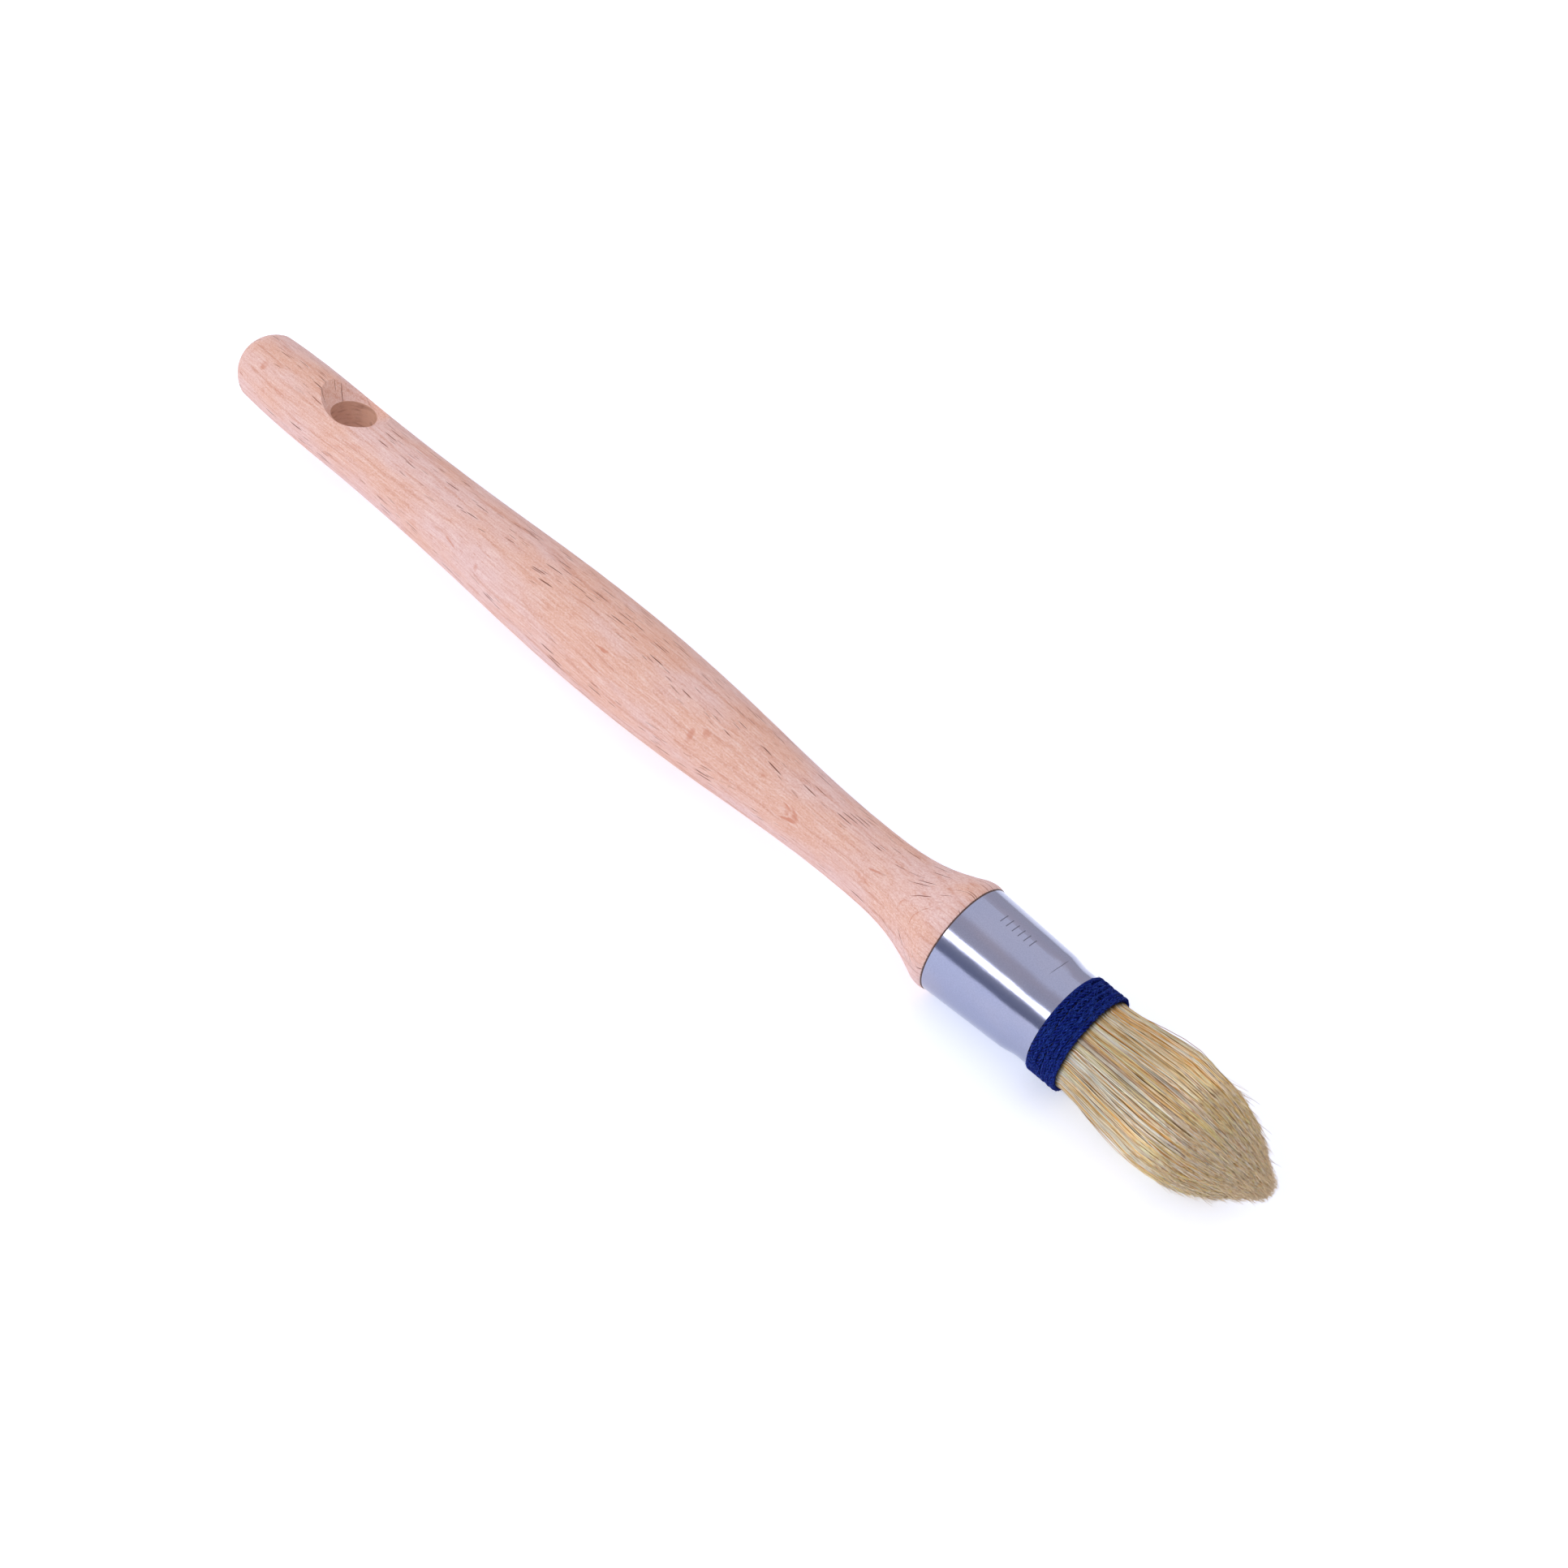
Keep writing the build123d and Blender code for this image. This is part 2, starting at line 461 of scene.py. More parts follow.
@dataclass(frozen=True)
class FerruleSteel:
    """Drawn and polished steel, with fine rings left by the polishing, a few hairline marks and a
    line of painted shade along the crease at the neck.
    """

    centre: Vector
    neck_x: float
    metal: Colour = (0.350, 0.372, 0.505)
    warmer_metal: Colour = (0.42, 0.41, 0.50)
    # The dark colour of the grain, the etched marks and the scuffs, and also of the painted shade
    # along the crease.
    soil_and_shade: Colour = (0.11, 0.11, 0.15)
    tick_gap: float = 1.3
    tick_turn: float = math.radians(92.0)
    crease_shade_turn: float = 1.58

    def material(self) -> bpy.types.Material:
        """Builds the steel.

        Returns:
            The material.
        """
        recipe = Recipe("polished_ferrule_steel")
        along, side, height = recipe.place(self.centre)
        around = height.angle_to(side)

        polish = recipe.clouds(along * 9.0, around * 2.2, 0.0, 3.0)
        grain = recipe.clouds(along, side, height, 3.0, 5.0)
        broad = recipe.clouds(along * 0.10, side * 0.22, height * 0.22)
        colour = recipe.mixed(broad.smooth(0.35, 0.75) * 0.35, self.metal, self.warmer_metal)
        colour = recipe.mixed(grain.smooth(0.34, 0.66) * 0.10, colour, self.soil_and_shade)

        ticks = self._ticks(along, around)
        # A thin dark line of painted shade along the crease at the neck, on the upper side only.
        crease_x = (self.neck_x - self.centre.x) / MM
        waver = along + abs(around - 1.55) * 0.5
        crease = abs(waver - (crease_x + 1.1)).smooth(0.09, 0.02)
        crease = crease * abs(around - self.crease_shade_turn).smooth(0.36, 0.15)
        scuff = recipe.clouds(along * 0.6, around * 30.0, 2.0)
        scuffs = scuff.smooth(0.74, 0.80) * 0.35
        # The etched lines and scuffs are real marks; the crease line is painted shade.
        marks_and_crease_shade = ticks * 0.75 + crease * 0.8 + scuffs
        colour = recipe.mixed(marks_and_crease_shade.smooth(0.0, 1.0), colour, self.soil_and_shade)

        relief = polish * 0.9 + grain * 0.8 + broad * 9.0 - ticks * 1.5 - crease * 2.0
        roughness = 0.09 + polish * 0.08 + grain * 0.05 + marks_and_crease_shade * 0.25
        return recipe.surfaced(
            colour, roughness, metallic=1.0, relief=relief, relief_depth=0.006 * MM
        )

    def _ticks(self, along: Reading, around: Reading) -> Reading:
        """A row of short etched gauge lines on the upper side of the cone.

        Args:
            along: Millimetres along the brush from the ferrule's middle.
            around: Radians round the brush.

        Returns:
            1 inside a line and 0 elsewhere.
        """
        turned = (around - self.tick_turn) * 10.2
        row = along + 2.6
        lines = abs((row / self.tick_gap).wrapped() - 0.5) * self.tick_gap
        inside = abs(row).smooth(3.5, 3.4)
        return lines.smooth(0.13, 0.05) * inside * abs(turned).smooth(1.15, 1.05)


@dataclass(frozen=True)
class NavyTwine:
    """Dyed linen twine: fine fibres wound round each ply, with painted shade in the hollows and
    painted bright blue glints on the crowns and on the loose fibres.
    """

    # The darkest colour is painted shade for the hollows between plies; the brightest is the colour
    # of painted glints.
    deep: Colour = tint(0, 2, 30)
    navy: Colour = tint(4, 24, 114)
    royal_glint: Colour = tint(66, 106, 218)

    def material(self) -> bpy.types.Material:
        """Builds the twine.

        Returns:
            The material.
        """
        recipe = Recipe("navy_twine")
        shade = Reading(recipe, recipe.attribute("crown").outputs["Fac"])
        run, round_ply, turn = recipe.parts(recipe.attribute("wound").outputs["Vector"])
        fibre = recipe.clouds(run * 2.2, round_ply * 3.0 + run * 5.5, turn, 3.0)
        patch = recipe.clouds(run * 0.35, 0.0, turn * 3.1)
        # Painted shade: darker towards the hollows between the plies, lighter on their crowns,
        # mixed with the dye's own patches.
        lift = (shade * 0.75 + patch * 0.5).smooth(0.25, 1.05)
        colour = recipe.mixed(lift, self.deep, self.navy)
        # Painted glints: bright blue on the fibres of the crowns.
        colour = recipe.mixed(fibre.smooth(0.52, 0.74) * lift * 0.70, colour, self.royal_glint)
        # Painted highlight: the loose fibres turn bright blue.
        loose = shade.smooth(1.1, 1.5) * fibre.smooth(0.30, 0.62)
        colour = recipe.mixed(loose * 0.75, colour, self.royal_glint)
        return recipe.surfaced(
            colour, 0.38 + fibre * 0.25, specular=0.08, relief=fibre, relief_depth=0.10 * MM
        )


@dataclass(frozen=True)
class HogBristle:
    """Natural hog bristle, each hair in its own shade with a satin skin, and dark flecks of painted
    shadow between the hairs.
    """

    centre: Vector
    front_x: float
    # The colour of the painted shadow in the gaps between hairs.
    fleck_shadow_brown: Colour = tint(138, 80, 34)
    pale: Colour = tint(254, 244, 220)

    def material(self) -> bpy.types.Material:
        """Builds the bristle.

        Returns:
            The material.
        """
        recipe = Recipe("hog_bristle")
        own = recipe.attribute("shade").outputs["Color"]
        along, side, height = recipe.place(self.centre)
        flecks = recipe.clouds(along * 0.55, side * 3.0, height * 3.0)
        front = along.smooth(self.front_x / MM - 6.0, self.front_x / MM + 6.0)
        # Painted shadow: dark flecks for the gaps between hairs, more of them in the front half.
        dark = flecks.smooth(0.58, 0.68) * (front * 0.45 + 0.20)
        colour = recipe.mixed(dark, own, self.fleck_shadow_brown)
        colour = recipe.mixed(flecks.smooth(0.44, 0.26) * 0.35, colour, self.pale)
        return recipe.surfaced(colour, 0.45 + flecks * 0.2, specular=0.14)


@dataclass(frozen=True)
class CuredGlue:
    """A hidden casting of glue or resin, slightly cloudy."""

    name: str
    thin: Colour
    thick: Colour
    roughness: float

    def material(self) -> bpy.types.Material:
        """Builds the casting.

        Returns:
            The material.
        """
        recipe = Recipe(self.name)
        haze = recipe.clouds(*recipe.place(Vector()), 3.0, 0.6)
        colour = recipe.mixed(haze.smooth(0.3, 0.7), self.thin, self.thick)
        roughness = self.roughness + haze * 0.15
        return recipe.surfaced(colour, roughness, relief=haze, relief_depth=0.1 * MM)


@dataclass(frozen=True)
class StudioPaper:
    """The pale seamless paper that the brush lies on."""

    pale: Colour = (0.83, 0.87, 0.95)
    hollows: Colour = (0.7, 0.72, 0.8)
    lift: float = 0.46

    def material(self) -> bpy.types.Material:
        """Builds the paper.

        Returns:
            The material.
        """
        recipe = Recipe("pale_studio_paper")
        tooth = recipe.clouds(*recipe.place(Vector()), 3.0, 0.9)
        colour = recipe.mixed(tooth * 0.04, self.pale, self.hollows)
        material = recipe.surfaced(colour, 0.9, specular=0.1)
        shader = next(n for n in recipe.tree.nodes if n.type == "BSDF_PRINCIPLED")
        shader.inputs["Emission Color"].default_value = (*self.pale, 1.0)
        shader.inputs["Emission Strength"].default_value = self.lift
        return material


# Mesh helpers


def deselect_all() -> None:
    """Leaves nothing selected or active, so that the next operator acts on its own object."""
    if bpy.context.object is not None and bpy.context.object.mode != "OBJECT":
        bpy.ops.object.mode_set(mode="OBJECT")
    bpy.ops.object.select_all(action="DESELECT")
    bpy.context.view_layer.objects.active = None


def finished(
    piece: bpy.types.Object, material: bpy.types.Material, node: str
) -> bpy.types.Object:
    """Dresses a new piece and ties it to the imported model.

    Args:
        piece: The new object, at the origin.
        material: Its finish.
        node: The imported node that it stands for.

    Returns:
        The same object.
    """
    piece.data.materials.append(material)
    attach(piece, BODY)
    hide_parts(node)
    log.info("%s: %d faces", piece.name, len(piece.data.polygons))
    return piece


def modelled(
    name: str, points: np.ndarray, faces: list[list[int]], **readings: np.ndarray
) -> bpy.types.Object:
    """Makes a smooth piece, with the readings that its finish takes at each vertex.

    Args:
        name: The piece's name.
        points: Its vertices, one row each.
        faces: Its faces.
        readings: One, three or four numbers for each vertex, under the attribute's name.

    Returns:
        The piece.
    """
    mesh = bpy.data.meshes.new(name)
    mesh.from_pydata(points.tolist(), [], faces)
    for key, values in readings.items():
        flat = values.astype(np.float32).ravel()
        kind, slot = ATTRIBUTE_KINDS[len(flat) // len(points)]
        home = mesh.color_attributes if slot == "color" else mesh.attributes
        home.new(key, kind, "POINT").data.foreach_set(slot, flat)
    mesh.shade_smooth()
    piece = bpy.data.objects.new(name, mesh)
    bpy.context.scene.collection.objects.link(piece)
    return piece


def repeated(faces: list[list[int]], copies: int, stride: int) -> list[list[int]]:
    """Repeats a master's faces for copies of its vertices.

    Args:
        faces: The master's faces.
        copies: How many copies there are.
        stride: How many vertices each copy has.

    Returns:
        The faces of all the copies.
    """
    shift = np.arange(copies)[:, None, None] * stride
    everything: list[list[int]] = []
    for corners in sorted({len(face) for face in faces}):
        block = np.array([face for face in faces if len(face) == corners])
        everything += (block[None, :, :] + shift).reshape(-1, corners).tolist()
    return everything


def eased(share: Any) -> Any:
    """Turns an even share from 0 to 1 into one that starts and ends gently."""
    return share * share * (3.0 - 2.0 * share)


def circled(turn: np.ndarray, first: np.ndarray, second: np.ndarray) -> tuple[np.ndarray, ...]:
    """Turns two square directions together by an angle at each point."""
    cos, sin = np.cos(turn), np.sin(turn)
    return cos * first + sin * second, -sin * first + cos * second


@dataclass
class Outline:
    """The radius of a packed turned node along the brush, read from its mesh."""

    stations: np.ndarray
    radii: np.ndarray

    @classmethod
    def of(cls, node: str, axis_height: float, count: int = 160) -> Outline:
        """Reads a node.

        Args:
            node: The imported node's name.
            axis_height: The height of the brush's axis, in metres.
            count: How many stations are kept.

        Returns:
            Its outer outline.
        """
        mesh = bpy.data.objects[node].data
        flat = np.zeros(len(mesh.vertices) * 3)
        mesh.vertices.foreach_get("co", flat)
        points = flat.reshape(-1, 3)
        reach = np.hypot(points[:, 1], points[:, 2] - axis_height)
        edges = np.linspace(points[:, 0].min(), points[:, 0].max(), count + 1)
        middle, outer = [], []
        for low, high in zip(edges[:-1], edges[1:]):
            inside = (points[:, 0] >= low - 1e-9) & (points[:, 0] <= high + 1e-9)
            if inside.any():
                best = np.flatnonzero(inside)[np.argmax(reach[inside])]
                middle.append(points[best, 0])
                outer.append(reach[best])
        order = np.argsort(middle)
        return cls(np.array(middle)[order], np.array(outer)[order])

    def radius(self, x: Any) -> Any:
        """The outer radius at one station or many, and nothing beyond the front end."""
        return np.interp(x, self.stations, self.radii, right=0.0)


def sunflower(count: int) -> np.ndarray:
    """Spreads points evenly over a disc of radius 1, as the seeds lie in a sunflower.

    Args:
        count: How many points.

    Returns:
        Their two places, one row each.
    """
    order = np.arange(count) + 0.5
    radius = np.sqrt(order / count)
    turn = order * math.pi * (3.0 - math.sqrt(5.0))
    return np.stack([radius * np.cos(turn), radius * np.sin(turn)], axis=1)


# Sub-assemblies


@dataclass
class HandleAndFerrule:
    """The turned handle, its steel ferrule and the glue and resin hidden between them."""

    axis_height: float
    hole_x: float
    hole_radius: float
    spot_from_tail: float = 2.3 * MM
    spot_radius: float = 6.1 * MM
    spot_turn: float = math.radians(50.0)
    neck_from_mouth: float = 5.7 * MM

    def dress(self) -> None:
        """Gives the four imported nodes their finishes."""
        handle_low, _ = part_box("handle")
        ferrule_low, ferrule_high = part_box("ferrule")
        spot = Vector(
            (
                handle_low.x + self.spot_from_tail,
                self.spot_radius * math.cos(self.spot_turn),
                self.axis_height + self.spot_radius * math.sin(self.spot_turn),
            )
        )
        middle = Vector(((ferrule_low.x + ferrule_high.x) / 2.0, 0.0, self.axis_height))
        neck_x = ferrule_high.x - self.neck_from_mouth
        looks = {
            "handle": Beech(
                centre=Vector((0.0, 0.0, self.axis_height)),
                tail_spot=spot,
                hole=Vector((self.hole_x, 0.0, self.axis_height)),
                hole_radius=self.hole_radius,
                joint_x=ferrule_low.x,
            ),
            "ferrule": FerruleSteel(middle, neck_x),
            "spigot_glue": CuredGlue("wood_glue", tint(226, 206, 150), tint(190, 160, 104), 0.45),
            "setting_resin": CuredGlue(
                "setting_resin", tint(196, 164, 96), tint(150, 112, 58), 0.25
            ),
        }
        for node, look in looks.items():
            piece = bpy.data.objects[node]
            piece.data.materials.clear()
            piece.data.materials.append(look.material())
            log.info("%s: %s", node, piece.data.materials[0].name)


@dataclass
class Whipping:
    """The twine wound round the root of the bristle: three twisted plies in close turns."""

    axis_height: float
    turns: float = 6.0
    plies: int = 3
    ply_sides: int = 7
    lay: float = 2.3 * MM
    ply_share: float = 0.54
    steps_per_lay: int = 13
    waver: float = 0.085 * MM
    ply_waver: float = 0.14
    tuck: float = 0.35
    step_from: float = 0.80
    start_turn: float = math.radians(322.0)
    fibres: int = 2600
    fibre_length: tuple[float, float] = (0.5 * MM, 1.9 * MM)
    fibre_thickness: float = 0.05 * MM
    fibre_spread: float = 1.45
    fibre_slant: float = 0.5
    fibre_lift: float = 0.10
    fibre_seat: float = 0.44
    fibre_shine: float = 1.6
    clearance: float = 0.02 * MM
    uneven_rates: tuple[float, ...] = (1.7, 2.9, 4.3, 6.1, 9.7, 13.3)
    seed: int = 11

    def build(self) -> list[bpy.types.Object]:
        """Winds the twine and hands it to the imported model.

        Returns:
            The turns and their loose fibres.
        """
        low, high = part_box("twine_whipping")
        outer = (high.z - low.z) / 2.0
        cord = (high.x - low.x) / self.turns
        line = self._line(low.x + cord / 2.0, high.x - cord / 2.0, outer - cord / 2.0, cord)
        material = NavyTwine().material()
        limits = (low.x + self.clearance, high.x - self.clearance, outer)
        pieces = (self._plies(line, cord), self._fuzz(line, cord, limits))
        return [finished(piece, material, "twine_whipping") for piece in pieces]

    def _line(self, first: float, last: float, radius: float, cord: float) -> np.ndarray:
        """The middle of the cord, a slightly uneven helix whose ends dive under the turns.

        Args:
            first: Where the first turn lies along the brush.
            last: Where the last turn lies.
            radius: The radius of the cord's middle.
            cord: The cord's thickness.

        Returns:
            Points, one row each.
        """
        length = FULL_TURN * radius * (self.turns - 0.02)
        count = int(length / self.lay * self.steps_per_lay)
        share = np.linspace(0.0, 1.0, count)
        turned = share * (self.turns - 0.02) * FULL_TURN
        rng = np.random.default_rng(self.seed)
        phases = rng.uniform(0.0, FULL_TURN, len(self.uneven_rates))
        uneven = sum(
            np.sin(turned * rate + phase) / (1.0 + 0.25 * index)
            for index, (rate, phase) in enumerate(zip(self.uneven_rates, phases))
        )
        # Each turn runs straight round and steps forward to the next in its last part.
        whole = np.floor(turned / FULL_TURN)
        part = (turned / FULL_TURN - whole - self.step_from) / (1.0 - self.step_from)
        stepped = (whole + eased(np.clip(part, 0.0, 1.0))) / (self.turns - 1.0)
        x = first + (last - first) * np.clip(stepped, 0.0, 1.0) + uneven * self.waver * 0.5
        ends = np.minimum(turned, turned[-1] - turned)
        dive = np.clip(1.0 - ends / self.tuck, 0.0, 1.0) ** 2
        reach = radius - dive * cord * 1.1 + uneven * self.waver * 0.35
        turned = self.start_turn + turned
        height = self.axis_height + reach * np.sin(turned)
        return np.stack([x, reach * np.cos(turned), height], axis=1)

    def _plies(self, line: np.ndarray, cord: float) -> bpy.types.Object:
        """Twists the plies along the cord's middle.

        Args:
            line: Points along the middle.
            cord: The cord's thickness.

        Returns:
            One mesh with all the plies.
        """
        _, spoke, beside = self._frame(line)
        run = np.concatenate([[0.0], np.cumsum(np.linalg.norm(np.diff(line, axis=0), axis=1))])
        twist = run / self.lay * FULL_TURN
        ply_radius = cord * self.ply_share / 2.0
        offset = cord / 2.0 - ply_radius
        sides = np.arange(self.ply_sides) / self.ply_sides * FULL_TURN
        points, faces, crown, wound = [], [], [], []
        rng = np.random.default_rng(self.seed + 1)
        for ply in range(self.plies):
            turn = twist + ply / self.plies * FULL_TURN
            out, over = circled(turn[:, None], spoke, beside)
            slub = np.interp(run, np.linspace(0.0, run[-1], 160), rng.normal(0.0, 1.0, 160))
            thick = ply_radius * (1.0 + self.ply_waver * np.clip(slub, -1.6, 0.8))
            base = len(points) * len(line) * self.ply_sides
            ring = (
                (line + out * offset)[:, None, :]
                + out[:, None, :] * (np.cos(sides) * thick[:, None])[:, :, None]
                + over[:, None, :] * (np.sin(sides) * thick[:, None])[:, :, None]
            )
            points.append(ring.reshape(-1, 3))
            # The height above the cord's middle, which the finish turns into painted shade in the
            # hollows and painted glints on the crowns.
            height = ((ring - line[:, None, :]) * out[:, None, :]).sum(2) / (cord / 2.0)
            crown.append(np.clip(height, 0.0, 1.0).reshape(-1))
            place = (run / cord)[:, None], (sides / FULL_TURN * 4.0)[None, :], float(ply)
            wound.append(np.stack(np.broadcast_arrays(*place), axis=2).reshape(-1, 3))
            grid = np.arange(len(line) * self.ply_sides).reshape(len(line), -1) + base
            onward = np.roll(grid, -1, axis=1)
            skin = np.stack([grid[:-1], onward[:-1], onward[1:], grid[1:]], axis=2)
            faces += skin.reshape(-1, 4).tolist()
            faces += [grid[0][::-1].tolist(), grid[-1].tolist()]
        readings = {"crown": np.concatenate(crown), "wound": np.concatenate(wound)}
        return modelled("twine_turns", np.concatenate(points), faces, **readings)

    def _frame(self, line: np.ndarray) -> tuple[np.ndarray, np.ndarray, np.ndarray]:
        """Finds the directions along the cord, away from the brush's axis and beside both.

        Args:
            line: Points along the cord's middle.

        Returns:
            The three directions at each point.
        """
        ahead = np.gradient(line, axis=0)
        ahead /= np.linalg.norm(ahead, axis=1)[:, None]
        spoke = self._from_axis(line)
        spoke -= (spoke * ahead).sum(1)[:, None] * ahead
        spoke /= np.linalg.norm(spoke, axis=1)[:, None]
        return ahead, spoke, np.cross(ahead, spoke)

    def _from_axis(self, points: np.ndarray) -> np.ndarray:
        """The way from the brush's axis straight out to each point."""
        return points * np.array([0.0, 1.0, 1.0]) - np.array([0.0, 0.0, self.axis_height])

    def _fuzz(
        self, line: np.ndarray, cord: float, limits: tuple[float, float, float]
    ) -> bpy.types.Object:
        """Adds the short fibres that stand loose from the twine.

        Args:
            line: Points along the cord's middle.
            cord: The cord's thickness.
            limits: The first and last station and the radius that the fibres stay inside.

        Returns:
            One mesh with all the fibres.
        """
        share, across, faces = HairMaster(2).mesh()
        rng = np.random.default_rng(self.seed + 2)
        ahead, spoke, beside = self._frame(line)
        seat = rng.integers(4, len(line) - 4, self.fibres)
        turn = rng.uniform(-self.fibre_spread, self.fibre_spread, self.fibres)[:, None]
        out, over = circled(turn, spoke[seat], beside[seat])
        way = rng.choice([-1.0, 1.0], self.fibres)[:, None]
        run = ahead[seat] * way + over * rng.normal(0.0, self.fibre_slant, (self.fibres, 1))
        run /= np.linalg.norm(run, axis=1)[:, None]
        length = rng.uniform(*self.fibre_length, self.fibres)[:, None]
        lift = rng.normal(self.fibre_lift, self.fibre_lift, (self.fibres, 1)) * length
        start = line[seat] + out * cord * self.fibre_seat
        gone = share[None, :, None]
        path = start[:, None, :] + (run * length)[:, None, :] * gone
        path = path + (out * lift)[:, None, :] * gone**2.0
        # The turn curves away under a straight fibre, so the fibre bends with it.
        sag = length**2.0 / (2.0 * limits[2])
        path = path - (spoke[seat] * sag)[:, None, :] * gone**2.0
        ring = across * self.fibre_thickness / 2.0
        path = path + out[:, None, :] * ring[None, :, :1] + over[:, None, :] * ring[None, :, 1:]
        path[..., 0] = np.clip(path[..., 0], limits[0], limits[1])
        from_axis = self._from_axis(path)
        reach = np.linalg.norm(from_axis, axis=2, keepdims=True)
        pulled = from_axis * np.minimum(1.0, limits[2] / reach)
        path[..., 1] = pulled[..., 1]
        path[..., 2] = pulled[..., 2] + self.axis_height
        # Loose fibres get a height above 1, which the finish turns into a bright blue painted
        # highlight.
        crown = np.full(path.shape[:2], self.fibre_shine)
        # Every fibre reads its own patch of the dye.
        place = (seat / 3.0)[:, None], share[None, :], (seat % 7.0)[:, None]
        wound = np.stack(np.broadcast_arrays(*place), axis=2)
        everything = repeated(faces, self.fibres, len(share))
        points = path.reshape(-1, 3)
        return modelled("twine_loose_fibres", points, everything, crown=crown, wound=wound)


@dataclass
class HairMaster:
    """One bristle, modelled once: a three-sided tapering strand of unit length."""

    rings: int
    sides: int = 3

    def mesh(self) -> tuple[np.ndarray, np.ndarray, list[list[int]]]:
        """Models the strand and takes its mesh.

        Returns:
            Each vertex's share along the strand, its two places across it, and the faces.
        """
        deselect_all()
        bpy.ops.mesh.primitive_cylinder_add(
            vertices=self.sides, radius=1.0, depth=1.0, end_fill_type="NGON", location=(0, 0, 0.5)
        )
        strand = bpy.context.object
        bpy.ops.object.mode_set(mode="EDIT")
        bpy.ops.mesh.select_mode(type="EDGE")
        bpy.ops.mesh.select_all(action="DESELECT")
        bpy.ops.object.mode_set(mode="OBJECT")
        mesh = strand.data
        for edge in mesh.edges:
            ends = [mesh.vertices[v].co.z for v in edge.vertices]
            edge.select = abs(ends[0] - ends[1]) > 0.5
        bpy.ops.object.mode_set(mode="EDIT")
        bpy.ops.mesh.subdivide(number_cuts=self.rings)
        bpy.ops.object.mode_set(mode="OBJECT")
        points = np.array([(strand.matrix_world @ v.co)[:] for v in mesh.vertices])
        faces = [list(p.vertices) for p in mesh.polygons]
        bpy.data.objects.remove(strand)
        bpy.data.meshes.remove(mesh)
        return points[:, 2], points[:, :2], faces


class Layer(Enum):
    """The tuft's layers: from and to which share of its radius, and the rings along a hair."""

    OUTER = (0.89, 1.1, 8)
    SECOND = (0.76, 0.89, 8)
    THIRD = (0.60, 0.76, 6)
    INNER = (0.0, 0.60, 4)


@dataclass
class Strands:
    """Many hairs ready to be made: one row for each hair, one column for each master vertex."""

    along: np.ndarray
    middle: np.ndarray
    girth: np.ndarray
    colour: np.ndarray

    def mesh(
        self,
        name: str,
        master: tuple[np.ndarray, np.ndarray, list[list[int]]],
        axis_height: float,
        thinning: float,
        seed: int,
    ) -> bpy.types.Object:
        """Copies the master hair along every path.

        Args:
            name: The piece's name.
            master: The master hair's shares, its places across and its faces.
            axis_height: The height of the brush's axis.
            thinning: How much of its girth a hair has lost at its tip.
            seed: What the hairs' own turns are drawn from.

        Returns:
            One mesh with all the hairs.
        """
        share, across, faces = master
        taper = 1.0 - thinning * share**4.0
        ring = across[None, :, :] * (self.girth / 2.0)[:, None, None] * taper[None, :, None]
        turned = np.random.default_rng(seed).uniform(0.0, FULL_TURN, len(self.girth))
        cos, sin = np.cos(turned)[:, None], np.sin(turned)[:, None]
        wide = self.middle[..., 0] + ring[..., 0] * cos - ring[..., 1] * sin
        high = self.middle[..., 1] + ring[..., 0] * sin + ring[..., 1] * cos
        points = np.stack([self.along, wide, high + axis_height], axis=2)
        everything = repeated(faces, len(self.girth), len(share))
        full = np.concatenate([self.colour, np.ones(self.colour.shape[:2] + (1,))], axis=2)
        log.info("%s: %d hairs", name, len(self.girth))
        return modelled(name, points.reshape(-1, 3), everything, shade=full)


